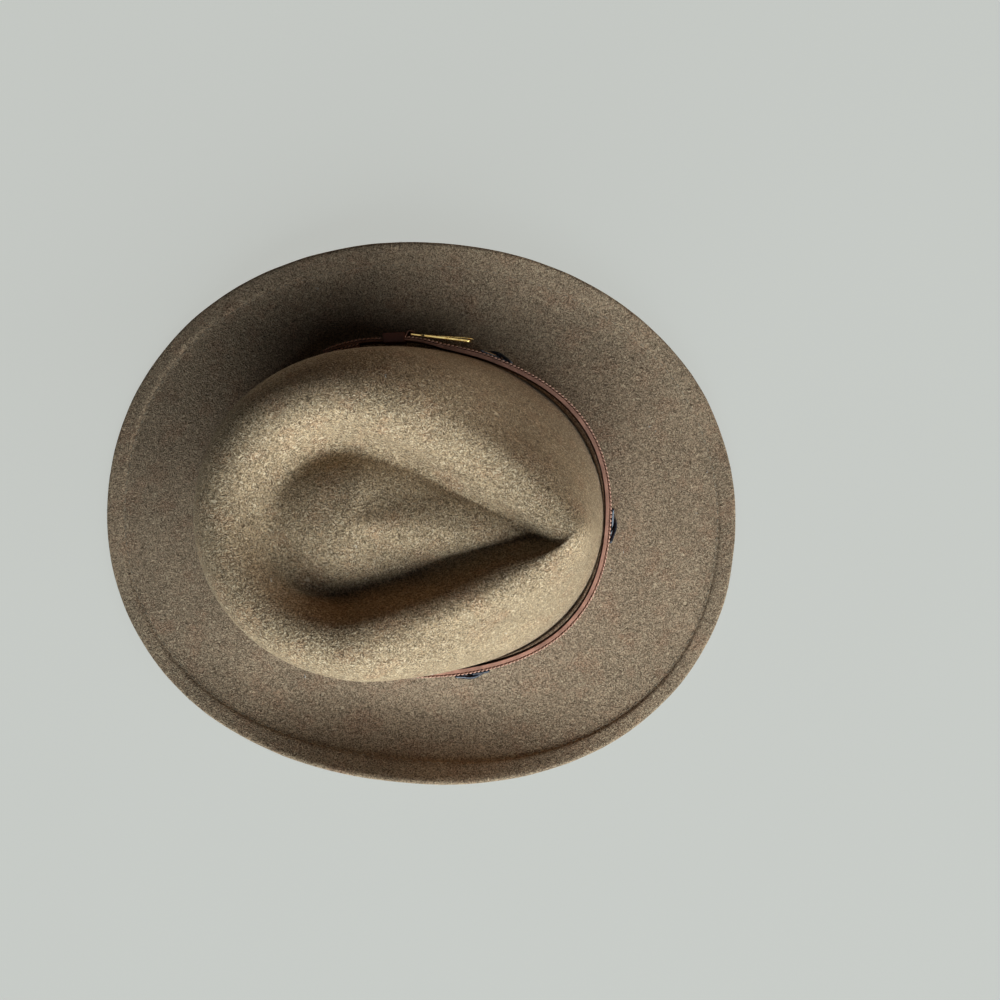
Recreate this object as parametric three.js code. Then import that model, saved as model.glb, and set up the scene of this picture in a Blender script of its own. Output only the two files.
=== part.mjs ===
// A fedora of brown felt that stands on its brim: teardrop crown, doubled and stitched brim
// edge, narrow leather band with a small brass buckle, and dark lace crossed over the band.
// Millimetres. +X is the front of the hat, +Y the wearer's left, +Z up.
import * as THREE from "three";

// Felt
const FELT = 2.2; // thickness of the felt
const FACETS = 72; // facets round each ring of the felt
const FRONT_CROWDING = 0.35; // share by which they are narrower at the front than on average
const RING_STEPS = 2; // rings made from each row of the crown's table
const BACK_POWER = 2.05; // roundness of the back of every crown ring
const TOUCH = 0.001; // felt this close to the floor lies on it
const BEND_ABOVE = 8; // degrees: a ring is left out where the felt bends less than this
const BEND_BELOW = 12; // the same for the under side

// Brim
const BRIM_LENGTH = 345; // front to back
const BRIM_WIDTH = 279.6; // side to side, with its curl
const BRIM_POWER = 2.2; // 2 is an oval, more is squarer
const EDGE_WAVE = 1.25; // worn edge: how far it swings in and out, three times round
const EDGE_WAVE_TURN = 78; // degrees from the front to the first swing out
const EDGE_DIP = -2.5; // height that the edge would droop to in front and behind, with no floor
const SIDE_RISE = 30; // height of the underside of the edge at the two sides
const SIDE_SPREAD = 0.2; // sine of the angle where the sides start to rise
const SIDE_EASE = 1.7; // how slowly they start
const SIDE_SAG = 8; // how far the side brim dips before it curls up
const FALL_POWER = 1.15; // front and back: nearly straight down to the edge
const CURL_POWER = 2.6; // sides: flat by the crown, steep at the edge
const BRIM_RINGS = [0, 0.15, 0.3, 0.45, 0.6, 0.72]; // places from the crown to the edge

// Doubled edge of the brim
const WELT = 3.8; // thickness
const WELT_WIDTH = 9.5;
const WELT_ROUND = 1.1; // rounding of its outer edge
const WELT_INSETS = [10.4, WELT_WIDTH, 8.7, 5, WELT_ROUND, 0]; // its rings, from the brim's edge
const WELT_FIRST = 0.35; // share of its height that it has where it starts

// Crown, with its middle a little behind and right of the brim's
const CROWN_BACK = -1.2;
const CROWN_RIGHT = -0.9;
const FOOT = 24.3; // height where the wall leaves the rounding into the brim
const FILLET = 3.5; // radius of that rounding
const FILLET_TURNS = [30, 60]; // degrees round it at its rings

// Rings of the crown from the foot of the wall over the rim and down into the crease.
// middle, front and back are places along X, side is half the width, shift moves the ring to
// the wearer's left, tip does so at its front end, and veer draws its very tip to the right.
// power shapes the front half: 2 is an oval, less is pointed. pinch is how far both flanks are
// pressed in, most at the angle turn.
// The three heights are at the front end, the two sides and the back end.
const CROWN = [
  { middle: 0, front: 98, back: -100.6, side: 83.2, shift: 4.1, tip: 2,
    veer: 0, power: 2.12, pinch: 0, turn: 38, heights: [24.3, 24.3, 24.3] },
  { middle: -1, front: 96.8, back: -100.2, side: 82.2, shift: 3.9, tip: 2,
    veer: 0, power: 2.1, pinch: 0.5, turn: 38, heights: [35.5, 35.5, 35.5] },
  { middle: -3, front: 93.4, back: -99.2, side: 80.8, shift: 2.6, tip: 1.6,
    veer: 0, power: 1.95, pinch: 1.7, turn: 38, heights: [54, 58, 58] },
  { middle: -7, front: 89.8, back: -97.6, side: 78.8, shift: 1.2, tip: 1.4,
    veer: 0, power: 1.72, pinch: 4.3, turn: 38, heights: [73, 80, 79] },
  { middle: -12, front: 86.6, back: -95.2, side: 75.9, shift: 0.4, tip: 1.4,
    veer: 0, power: 1.52, pinch: 6, turn: 38, heights: [89, 100, 98] },
  { middle: -17, front: 84.4, back: -91, side: 69.1, shift: -1.1, tip: 1.4,
    veer: 0, power: 1.38, pinch: 4, turn: 38, heights: [97.8, 113.5, 110] },
  { middle: -20, front: 81.4, back: -84.5, side: 61.2, shift: -1.7, tip: 1.4,
    veer: 0, power: 1.31, pinch: 1, turn: 38, heights: [102.6, 120.4, 115.5] },
  { middle: -21, front: 78, back: -78, side: 53.5, shift: -2.4, tip: 1.2,
    veer: 0, power: 1.27, pinch: 0, turn: 24, heights: [104.3, 122.3, 117] },
  { middle: -22, front: 74.6, back: -72, side: 46.3, shift: -2.2, tip: 0,
    veer: 3, power: 1.2, pinch: 1.5, turn: 10, heights: [102.6, 120.2, 115.4] },
  { middle: -23, front: 71.6, back: -67.5, side: 41.6, shift: -2.5, tip: -1.4,
    veer: 4, power: 1.16, pinch: 3.5, turn: 10, heights: [98.6, 113, 111.6] },
  { middle: -24, front: 69.2, back: -63, side: 37.4, shift: -3, tip: -1.2,
    veer: 5, power: 1.13, pinch: 5, turn: 10, heights: [94.4, 103.8, 107] },
  { middle: -26, front: 66.5, back: -58, side: 32.1, shift: -3.8, tip: -1,
    veer: 5.5, power: 1.12, pinch: 6, turn: 10, heights: [91.2, 98, 104] },
  { middle: -26, front: 49, back: -50, side: 25.1, shift: -3.4, tip: -1.8,
    veer: 3, power: 1.45, pinch: 3.5, turn: 10, heights: [93.2, 103.2, 106] },
  { middle: -25, front: 24, back: -41, side: 15, shift: -3.2, tip: -3,
    veer: 0, power: 2, pinch: 0, turn: 10, heights: [98.8, 108.9, 108.9] },
  { middle: -24, front: -16, back: -30, side: 4, shift: -3.5, tip: -3.5,
    veer: 0, power: 2, pinch: 0, turn: 10, heights: [110.4, 111, 110.9] },
];
const VEER_START = 45; // place along X where the rings begin to veer
const VEER_END = 75;
const PINCH_SPREAD = 32; // degrees from the middle of a pinch to its end

// Leather strap round the foot of the crown
const STRAP = 2.8; // thickness
const STRAP_THIN = 1.8; // thickness where its end is pared
const STRAP_BOTTOM = 23.4;
const STRAP_TOP = 35.4;
const STRAP_GAP = 0.4; // to the felt, where the lace pulls it in
const STRAP_LIFT = 1.9; // how far it stands off between two crossings
const STRAP_LEAN = 0.05; // it leans in by this for each millimetre of height
const STRAP_STEP = 6; // length of one facet
const STRAP_MIDDLE = (STRAP_BOTTOM + STRAP_TOP) / 2;

// Places along the strap, measured from the front of the hat towards the wearer's left
const LACE_START = 1.8;
const LACE_SPACING = 110;
const FRAME_FRONT = 125.7;
const FRAME_BACK = 150.7;
const PIN = 156.1;
const KEEPER_FRONT = 158.7;
const KEEPER_BACK = 169.7;
const UNDER_END = 181.7; // the strap's end that lies underneath
const TAIL_END = 200.7; // the strap's end that lies on top
const TAIL_POINT = 7; // length of its tapered tip
const TAIL_TRIM = 0.36; // share of the strap's width that each edge loses there
const TAIL_STEPS = [4.5, 2.5, 1, 0]; // distances of the tip's facets from its end

const LIFT_START = 133.7; // where the strap begins to stand off towards the keeper
const KEEPER_STAND = 3.7; // from the felt to the strap's inner face in the keeper
const UNDER_STAND = 1.5; // the same at its end that lies underneath
const TAIL_STAND = 4.7; // the same where the strap lies on its own end

// Keeper, buckle and the leather tab that is hooked round the buckle's pin
const CLEARANCE = 0.3; // between two pieces that touch
const KEEPER_INNER = 0.6; // leather inside the strap
const KEEPER_OUTER = 0.9; // leather outside it
const KEEPER_LIP = 0.9; // leather over and under the strap's edges
const TAB = 0.8; // thickness of the tab
const TAB_EDGE = 0.6; // the tab is lower than the strap by this at each edge
const TAB_SHORT = 1; // its leg ends this far inside the keeper
const HOOK_RADIUS = 1.75; // to the middle of its leather
const HOOK_OUT = 0.8; // its middle is this much further out than the tab's leg
const HOOK_SLACK = 0.2; // the leg starts to bend this far behind it
const HOOK_START = 5; // degrees, with 0 at its back and 90 at its outer side
const HOOK_END = 140;
const PIN_SINK = 0.2; // the pin lies this much further in than the hook's middle
const NECK_TOP = 34;
const NECK = 1.2; // thickness of the pin and of the neck that carries it
const BRASS = 1.4; // thickness of the frame
const FRAME_BAR = 2.2; // width of its bars
const FRAME_TOP = 38.8;
const FRAME_BOTTOM = 21.6;
const FRAME_CORNER = 1.5; // radius of the middle of its front corners
const FRAME_SHOULDER = 1.6; // the same behind
const NECK_ROUND = 0.6; // the same where the neck leaves the frame
const NECK_RUN = 1; // from the middle of the back bar to there
const PIN_ROUND = 0.7; // the same where the neck turns into the pin
const FRAME_GAP = 4.1; // from the strap to the middle of the front bar
const FRAME_LEAN = 0.03; // its foot stands out by this for each millimetre of height
const PRONG = 0.6; // radius
const PRONG_TIP = 0.6; // it reaches this far past the frame
const PRONG_DROP = 0.3; // and bends in by this there

// Lace
const LACE_LENGTH = 17;
const LACE_WIDTH = 2.3;
const LACE_THICK = 1.4;
const LACE_LOW = 25.2;
const LACE_HIGH = 33.8;
const LACE_BULGE = 0.1; // the strand underneath stands off by this much more in its middle
const LACE_HUMP = 1.95; // and the strand on top by this more

const felt = new THREE.MeshStandardMaterial({ color: 0x6b5c48, roughness: 0.95, metalness: 0 });
const leather = new THREE.MeshStandardMaterial({ color: 0x6e3b26, roughness: 0.6, metalness: 0 });
const lace = new THREE.MeshStandardMaterial({ color: 0x14161d, roughness: 0.3, metalness: 0 });
const brass = new THREE.MeshStandardMaterial({ color: 0xc79a45, roughness: 0.3, metalness: 1 });

const hat = new THREE.Group();

function mix(a, b, share) {
  return a + (b - a) * share;
}

function smooth(value, from, to) {
  return THREE.MathUtils.smoothstep(value, from, to);
}

// One closed body from rings of points. Every ring has the same number of points. An open
// loft is capped at both ends, and a looped one joins its last ring to its first.
function loft(rings, looped = false) {
  const count = rings[0].length;
  const points = rings.flat();
  const triangles = [];
  const last = looped ? rings.length : rings.length - 1;
  for (let ring = 0; ring < last; ring += 1) {
    const near = ring * count;
    const far = ((ring + 1) % rings.length) * count;
    for (let place = 0; place < count; place += 1) {
      const next = (place + 1) % count;
      triangles.push([near + place, near + next, far + next]);
      triangles.push([near + place, far + next, far + place]);
    }
  }
  if (!looped) {
    const ends = [[0, true], [(rings.length - 1) * count, false]];
    for (const [start, first] of ends) {
      const middle = new THREE.Vector3();
      for (let place = 0; place < count; place += 1) {
        middle.addScaledVector(points[start + place], 1 / count);
      }
      const centre = points.push(middle) - 1;
      for (let place = 0; place < count; place += 1) {
        const pair = [start + place, start + (place + 1) % count];
        triangles.push(first ? [centre, pair[1], pair[0]] : [centre, pair[0], pair[1]]);
      }
    }
  }
  let volume = 0;
  for (const [a, b, c] of triangles) {
    volume += points[a].dot(new THREE.Vector3().crossVectors(points[b], points[c]));
  }
  const outward = volume > 0 ? triangles : triangles.map(([a, b, c]) => [a, c, b]);
  const geometry = new THREE.BufferGeometry().setFromPoints(points);
  geometry.setIndex(outward.flat());
  geometry.computeVertexNormals();
  return geometry;
}

function addPiece(name, geometry, material) {
  const mesh = new THREE.Mesh(geometry, material);
  mesh.name = name;
  hat.add(mesh);
}

// Distance from a ring's middle to its line in the direction of angle t
function reach(t, end, side, power) {
  const along = Math.abs(Math.cos(t)) / end;
  const across = Math.abs(Math.sin(t)) / side;
  return (along ** power + across ** power) ** (-1 / power);
}

// A value for all round a ring from its values at the front, at the sides and at the back
function around(t, [front, side, back]) {
  const sideways = Math.sin(t) ** 2;
  return mix(Math.cos(t) > 0 ? front : back, side, sideways);
}

// The crown's table read at a place between two rows, on a smooth curve through them
function crownRow(place) {
  const row = Math.min(Math.floor(place), CROWN.length - 2);
  const share = place - row;
  const at = (index) => CROWN[THREE.MathUtils.clamp(index, 0, CROWN.length - 1)];
  const blend = (read) => {
    const [before, start, end, after] = [row - 1, row, row + 1, row + 2].map((i) => read(at(i)));
    const leave = (end - before) / 2;
    const arrive = (after - start) / 2;
    const turn = 2 * (start - end) + leave + arrive;
    return start + share * (leave + share * (end - start - leave - turn + share * turn));
  };
  return {
    middle: blend((entry) => entry.middle),
    front: blend((entry) => entry.front),
    back: blend((entry) => entry.back),
    side: blend((entry) => entry.side),
    shift: blend((entry) => entry.shift),
    tip: blend((entry) => entry.tip),
    veer: blend((entry) => entry.veer),
    power: blend((entry) => entry.power),
    pinch: blend((entry) => entry.pinch),
    turn: blend((entry) => entry.turn),
    heights: [0, 1, 2].map((index) => blend((entry) => entry.heights[index])),
  };
}

// Share of a pinch at angle t, from 0 outside it to 1 in its middle
function pinchShare(t, middle) {
  const turn = Math.abs(THREE.MathUtils.radToDeg(Math.atan2(Math.sin(t), Math.cos(t))));
  const away = Math.min(Math.abs(turn - middle) / PINCH_SPREAD, 1);
  return Math.cos((Math.PI / 2) * away) ** 2;
}

function crownPoint(t, row) {
  const forward = Math.max(Math.cos(t), 0);
  const end = Math.cos(t) > 0 ? row.front - row.middle : row.middle - row.back;
  const power = Math.cos(t) > 0 ? row.power : BACK_POWER;
  const distance = reach(t, end, row.side, power) - row.pinch * pinchShare(t, row.turn);
  const along = row.middle + distance * Math.cos(t);
  const left = mix(row.shift, row.tip, forward) - row.veer * smooth(along, VEER_START, VEER_END);
  return new THREE.Vector3(
    CROWN_BACK + along,
    CROWN_RIGHT + left + distance * Math.sin(t),
    around(t, row.heights),
  );
}

// Horizontal direction away from the crown's wall
function outwards(t, row) {
  const step = 0.01;
  const along = crownPoint(t + step, row).sub(crownPoint(t - step, row));
  return new THREE.Vector3(along.y, -along.x, 0).normalize();
}

// Top of the brim's felt, from 0 at the rounding by the crown to 1 at the edge
function brimPoint(t, share) {
  const foot = crownRow(0);
  const root = crownPoint(t, foot).addScaledVector(outwards(t, foot), FILLET);
  const wave = EDGE_WAVE * Math.cos(3 * (t - THREE.MathUtils.degToRad(EDGE_WAVE_TURN)));
  const distance = reach(t, BRIM_LENGTH / 2, BRIM_WIDTH / 2, BRIM_POWER) + wave;
  const edge = new THREE.Vector3(distance * Math.cos(t), distance * Math.sin(t), 0);
  const sideways = Math.max(0, Math.abs(Math.sin(t)) - SIDE_SPREAD) / (1 - SIDE_SPREAD);
  const lift = sideways ** SIDE_EASE;
  const fall = mix(FALL_POWER, CURL_POWER, lift);
  const start = FOOT - FILLET;
  const end = FELT + mix(EDGE_DIP, SIDE_RISE, lift);
  const sag = SIDE_SAG * lift * Math.sin(Math.PI * share);
  const height = mix(start, end, share ** fall) - sag;
  const point = root.lerp(edge, share);
  return point.setZ(Math.max(height, FELT));
}

function brimWidth(t) {
  return brimPoint(t, 0).setZ(0).distanceTo(brimPoint(t, 1).setZ(0));
}

function ringOf(pointAt) {
  return Array.from({ length: FACETS }, (_, facet) => {
    const even = (2 * Math.PI * facet) / FACETS;
    return pointAt(even - FRONT_CROWDING * Math.sin(even));
  });
}

// Felt body: crown and brim as one sheet with its top side first, then the edge, then the
// same sheet again from below
const sheet = [];
for (let place = (CROWN.length - 1) * RING_STEPS; place >= 0; place -= 1) {
  const row = crownRow(place / RING_STEPS);
  sheet.push(ringOf((t) => crownPoint(t, row)));
}
const foot = crownRow(0);
for (const turn of FILLET_TURNS) {
  const angle = THREE.MathUtils.degToRad(turn);
  const away = FILLET * (1 - Math.cos(angle));
  const down = FILLET * Math.sin(angle);
  sheet.push(ringOf((t) => {
    const point = crownPoint(t, foot).addScaledVector(outwards(t, foot), away);
    return point.setZ(FOOT - down);
  }));
}
for (const share of BRIM_RINGS) {
  sheet.push(ringOf((t) => brimPoint(t, share)));
}
const weltStart = sheet.length;
for (const inset of WELT_INSETS) {
  sheet.push(ringOf((t) => brimPoint(t, 1 - inset / brimWidth(t))));
}

// Direction up and out of the sheet at one of its points
function sheetNormal(ring, facet) {
  const inner = sheet[Math.max(ring - 1, 0)][facet];
  const outer = sheet[Math.min(ring + 1, sheet.length - 1)][facet];
  const before = sheet[ring][(facet + FACETS - 1) % FACETS];
  const after = sheet[ring][(facet + 1) % FACETS];
  const away = outer.clone().sub(inner);
  const along = after.clone().sub(before);
  return away.cross(along).normalize();
}

function offsetRing(ring, depth) {
  return sheet[ring].map((point, facet) => {
    const moved = point.clone().addScaledVector(sheetNormal(ring, facet), depth);
    if (depth < 0 && point.z <= FELT + TOUCH) {
      moved.copy(point).setZ(0);
    }
    return moved;
  });
}

// Largest bend of the felt at a ring, in degrees, between the rings before and after it
function bendAt(rings, index) {
  const bends = rings[index].map((point, facet) => {
    const arriving = point.clone().sub(rings[index - 1][facet]);
    const leaving = rings[index + 1][facet].clone().sub(point);
    return arriving.angleTo(leaving);
  });
  return THREE.MathUtils.radToDeg(Math.max(...bends));
}

// Leaves out rings where the felt is nearly straight, but never two in a row
function thinned(rings, leastBend) {
  let skipped = false;
  return rings.filter((ring, index) => {
    const end = index === 0 || index === rings.length - 1;
    skipped = !end && !skipped && bendAt(rings, index) < leastBend;
    return !skipped;
  });
}

const raise = WELT - FELT;
const rim = sheet.length - 1;
const upper = sheet.slice(0, weltStart + 1);
upper.push(offsetRing(weltStart + 1, raise * WELT_FIRST));
for (let ring = weltStart + 2; ring < rim; ring += 1) {
  upper.push(offsetRing(ring, raise));
}
upper.push(offsetRing(rim, raise - WELT_ROUND));
const lower = [offsetRing(rim, WELT_ROUND - FELT)];
for (let ring = rim - 1; ring >= 0; ring -= 1) {
  lower.push(offsetRing(ring, -FELT));
}
addPiece("felt_body", loft([...thinned(upper, BEND_ABOVE), ...thinned(lower, BEND_BELOW)]), felt);

// The strap lies along the crown's wall. A place on it has a length s from the front of the
// hat, a distance out from the felt and a height.
const bandRow = crownRow((STRAP_BOTTOM - FOOT) / (CROWN[1].heights[1] - FOOT));
const BAND_SAMPLES = 720;
const lengths = [0];
for (let sample = 1; sample <= BAND_SAMPLES; sample += 1) {
  const [from, to] = [sample - 1, sample].map((i) => bandPoint((2 * Math.PI * i) / BAND_SAMPLES));
  lengths.push(lengths[sample - 1] + from.distanceTo(to));
}
const girth = lengths[BAND_SAMPLES];

function bandPoint(t) {
  return crownPoint(t, bandRow).addScaledVector(outwards(t, bandRow), STRAP_GAP).setZ(0);
}

function bandAngle(s) {
  const length = THREE.MathUtils.euclideanModulo(s, girth);
  const sample = Math.min(lengths.findLastIndex((value) => value <= length), BAND_SAMPLES - 1);
  const share = (length - lengths[sample]) / (lengths[sample + 1] - lengths[sample]);
  return (2 * Math.PI * (sample + share)) / BAND_SAMPLES;
}

function onBand(s, out, height) {
  const t = bandAngle(s);
  const lean = STRAP_LEAN * (height - STRAP_BOTTOM);
  const point = crownPoint(t, bandRow).addScaledVector(outwards(t, bandRow), out - lean);
  return point.setZ(height);
}

const laces = [0, 1, 2, -2, -1].map((index) => LACE_START + index * LACE_SPACING);

// Distance of the strap's inner face from the felt. The strap starts underneath at UNDER_END,
// runs once round by the back, and ends on top of itself at TAIL_END.
function strapStand(s) {
  const turned = s - girth;
  const firstLace = LACE_START + LACE_SPACING;
  const lastLace = LACE_START + 2 * LACE_SPACING;
  if (turned > firstLace) {
    const lifting = smooth(turned, LIFT_START, KEEPER_FRONT);
    const onKeeper = mix(STRAP_GAP, KEEPER_STAND, lifting);
    return mix(onKeeper, TAIL_STAND, smooth(turned, KEEPER_BACK, UNDER_END));
  }
  if (s < lastLace) {
    return mix(UNDER_STAND, STRAP_GAP, smooth(s, UNDER_END, lastLace - LACE_LENGTH / 2));
  }
  const nearest = Math.min(...laces.map((place) => {
    const apart = THREE.MathUtils.euclideanModulo(s - place, girth);
    return Math.min(apart, girth - apart);
  }));
  const between = Math.min(nearest / (LACE_SPACING / 2), 1);
  return STRAP_GAP + STRAP_LIFT * Math.sin((Math.PI / 2) * between) ** 2;
}

function strapThickness(s) {
  return mix(STRAP, STRAP_THIN, smooth(s - girth, FRAME_FRONT, KEEPER_FRONT));
}

function strapSection(s) {
  const inner = strapStand(s);
  const outer = inner + strapThickness(s);
  const toTip = girth + TAIL_END - s;
  const taper = 1 - Math.min(toTip / TAIL_POINT, 1);
  const trim = taper ** 2 * (STRAP_TOP - STRAP_BOTTOM) * TAIL_TRIM;
  const [bottom, top] = [STRAP_BOTTOM + trim, STRAP_TOP - trim];
  return [
    onBand(s, inner, bottom),
    onBand(s, outer, bottom),
    onBand(s, outer, top),
    onBand(s, inner, top),
  ];
}

const strapLength = girth + TAIL_END - TAIL_POINT - UNDER_END;
const strapFacets = Math.round(strapLength / STRAP_STEP);
const strapPlaces = Array.from(
  { length: strapFacets + 1 },
  (_, index) => UNDER_END + (strapLength * index) / strapFacets,
);
for (const toTip of TAIL_STEPS) {
  strapPlaces.push(girth + TAIL_END - toTip);
}
addPiece("hatband", loft(strapPlaces.map(strapSection)), leather);

// Keeper: a sleeve round the strap and the tab's leg
const strapFace = KEEPER_STAND + STRAP_THIN;
const tabMiddle = strapFace + CLEARANCE + TAB / 2;
const keeperInside = KEEPER_STAND - CLEARANCE;
const keeperOutside = tabMiddle + TAB / 2 + CLEARANCE;

// Four corners across the strap, from the inner side to the outer and from low to high
function acrossStrap(s, inner, outer, low, high) {
  const corners = [[inner, low], [outer, low], [outer, high], [inner, high]];
  return corners.map(([out, height]) => onBand(s, out, height));
}

const keeperPlaces = [KEEPER_FRONT, (KEEPER_FRONT + KEEPER_BACK) / 2, KEEPER_BACK];
const holeLow = STRAP_BOTTOM - CLEARANCE;
const holeHigh = STRAP_TOP + CLEARANCE;
const keeperRings = keeperPlaces.map((s) => acrossStrap(
  s,
  keeperInside - KEEPER_INNER,
  keeperOutside + KEEPER_OUTER,
  holeLow - KEEPER_LIP,
  holeHigh + KEEPER_LIP,
));
for (const s of keeperPlaces.toReversed()) {
  keeperRings.push(acrossStrap(s, keeperInside, keeperOutside, holeLow, holeHigh));
}
addPiece("keeper_loop", loft(keeperRings, true), leather);

// Points on both sides of a flat line, at a distance from it that halfAt gives for each point
function widened(path, halfAt, looped = false) {
  const last = path.length - 1;
  const at = (place) => {
    return looped ? path.at(place % path.length) : path[THREE.MathUtils.clamp(place, 0, last)];
  };
  return path.map((point, index) => {
    const arriving = point.clone().sub(at(index - 1)).normalize();
    const leaving = at(index + 1).clone().sub(point).normalize();
    const along = arriving.add(leaving).normalize();
    const mitre = halfAt(point) / (along.dot(leaving) || 1);
    const across = new THREE.Vector2(-along.y, along.x).multiplyScalar(mitre);
    return [point.clone().sub(across), point.clone().add(across)];
  });
}

// Points of an arc round a middle, from one angle to another in degrees
function arc(x, y, radius, from, to, steps) {
  return Array.from({ length: steps + 1 }, (_, step) => {
    const angle = THREE.MathUtils.degToRad(mix(from, to, step / steps));
    return new THREE.Vector2(x + radius * Math.cos(angle), y + radius * Math.sin(angle));
  });
}

// Tab: a leg in the keeper, then a hook round the pin that is open towards the front
const HOOK_STEPS = 8;
const hookOut = tabMiddle + HOOK_OUT;
const tabPath = [
  new THREE.Vector2(KEEPER_BACK - TAB_SHORT, tabMiddle),
  new THREE.Vector2((KEEPER_FRONT + KEEPER_BACK) / 2, tabMiddle),
  new THREE.Vector2(KEEPER_FRONT + HOOK_SLACK, tabMiddle),
  new THREE.Vector2(PIN + HOOK_RADIUS + HOOK_SLACK, tabMiddle + HOOK_SLACK / 2),
  ...arc(PIN, hookOut, HOOK_RADIUS, HOOK_START, HOOK_END, HOOK_STEPS),
];
const [tabLow, tabHigh] = [STRAP_BOTTOM + TAB_EDGE, STRAP_TOP - TAB_EDGE];
const tabRings = widened(tabPath, () => TAB / 2).map(([one, other]) => [
  onBand(one.x, one.y, tabLow),
  onBand(other.x, other.y, tabLow),
  onBand(other.x, other.y, tabHigh),
  onBand(one.x, one.y, tabHigh),
]);
addPiece("buckle_tab", loft(tabRings), leather);

// Buckle frame: a flat brass loop with a neck behind, whose end is the pin in the hook
const frameFace = strapStand(girth + FRAME_FRONT) + strapThickness(girth + FRAME_FRONT);
const frameOut = frameFace + FRAME_GAP;
const pinOut = hookOut - PIN_SINK;
const frameMiddle = (FRAME_TOP + FRAME_BOTTOM) / 2;

// A place in the frame's plane: length along the strap, distance out of the plane, height
function onFrame(s, out, height) {
  const share = (s - FRAME_FRONT) / (PIN - FRAME_FRONT);
  const away = out + FRAME_LEAN * (frameMiddle - height);
  const front = onBand(FRAME_FRONT, frameOut + away, height);
  return front.lerp(onBand(PIN, pinOut + away, height), share);
}

const barHeight = FRAME_TOP - FRAME_BAR / 2;
const neckHeight = NECK_TOP - NECK / 2;
const frontBar = FRAME_FRONT + FRAME_BAR / 2;
const backBar = FRAME_BACK - FRAME_BAR / 2;
const frameUpper = [
  ...arc(frontBar + FRAME_CORNER, barHeight - FRAME_CORNER, FRAME_CORNER, 180, 90, 2),
  ...arc(backBar - FRAME_SHOULDER, barHeight - FRAME_SHOULDER, FRAME_SHOULDER, 90, 15, 3),
  ...arc(backBar + NECK_RUN, neckHeight + NECK_ROUND, NECK_ROUND, 200, 270, 2),
  ...arc(PIN - PIN_ROUND, neckHeight - PIN_ROUND, PIN_ROUND, 90, 0, 2),
];
const frameLower = frameUpper.map(({ x, y }) => new THREE.Vector2(x, 2 * frameMiddle - y));
const framePath = [...frameUpper, ...frameLower.reverse()];
const onNeck = ({ x }) => x > backBar + NECK_RUN / 4;
const barHalf = (point) => (onNeck(point) ? NECK : FRAME_BAR) / 2;
const frameRings = widened(framePath, barHalf, true).map(([one, other], index) => {
  const depth = (onNeck(framePath[index]) ? NECK : BRASS) / 2;
  return [
    onFrame(one.x, -depth, one.y),
    onFrame(one.x, depth, one.y),
    onFrame(other.x, depth, other.y),
    onFrame(other.x, -depth, other.y),
  ];
});
addPiece("buckle_frame", loft(frameRings, true), brass);

// Prong: from the pin to the front bar, which it lies on
const PRONG_SIDES = 8;
const prongRest = BRASS / 2 + CLEARANCE + PRONG;
const prongStart = PIN - NECK / 2 - CLEARANCE;
const prongPath = [
  { s: prongStart, out: 0, radius: PRONG * 0.75 },
  { s: prongStart - 3.1, out: 0.2, radius: PRONG },
  { s: frontBar + FRAME_BAR / 2, out: prongRest, radius: PRONG },
  { s: frontBar, out: prongRest, radius: PRONG * 0.9 },
  { s: FRAME_FRONT - PRONG_TIP, out: prongRest - PRONG_DROP, radius: PRONG * 0.45 },
];
const prongRings = prongPath.map(({ s, out, radius }) => {
  return Array.from({ length: PRONG_SIDES }, (_, side) => {
    const angle = (2 * Math.PI * side) / PRONG_SIDES;
    return onFrame(s, out + radius * Math.cos(angle), frameMiddle + radius * Math.sin(angle));
  });
});
addPiece("buckle_prong", loft(prongRings), brass);

// Lace: at each crossing two strands run from edge to edge of the strap, one over the other
const LACE_STEPS = 6;
const LACE_SIDES = 6;

function strandGeometry(place, rising, hump) {
  const rings = [];
  const along = rising * (LACE_HIGH - LACE_LOW);
  const tilt = Math.atan2(along, LACE_LENGTH);
  const start = place < 0 ? place + girth : place;
  const face = STRAP_GAP + STRAP;
  for (let step = 0; step <= LACE_STEPS; step += 1) {
    const share = step / LACE_STEPS - 0.5;
    const lift = CLEARANCE + LACE_THICK / 2 + hump * Math.cos(Math.PI * share) ** 2;
    rings.push(Array.from({ length: LACE_SIDES }, (_, side) => {
      const angle = (2 * Math.PI * (side + 0.5)) / LACE_SIDES;
      const across = (LACE_WIDTH / 2) * Math.cos(angle);
      const out = (LACE_THICK / 2) * (Math.sin(angle) / Math.sin(Math.PI / 3));
      return onBand(
        start + LACE_LENGTH * share - across * Math.sin(tilt),
        face + lift + out,
        STRAP_MIDDLE + along * share + across * Math.cos(tilt),
      );
    }));
  }
  return loft(rings);
}

laces.forEach((place, index) => {
  addPiece(`lace_${index + 1}_under`, strandGeometry(place, 1, LACE_BULGE), lace);
  addPiece(`lace_${index + 1}_over`, strandGeometry(place, -1, LACE_BULGE + LACE_HUMP), lace);
});

// The origin is on the floor under the middle of the brim
const box = new THREE.Box3().setFromObject(hat);
const middle = box.getCenter(new THREE.Vector3());
hat.position.set(-middle.x, -middle.y, -box.min.z);

export default hat;
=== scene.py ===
"""A brown felt fedora with a narrow leather band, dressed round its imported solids."""

import math
import random

import bpy
import numpy as np
from bpy.props import FloatProperty, FloatVectorProperty, IntProperty, PointerProperty
from mathutils import Matrix, Vector


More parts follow.
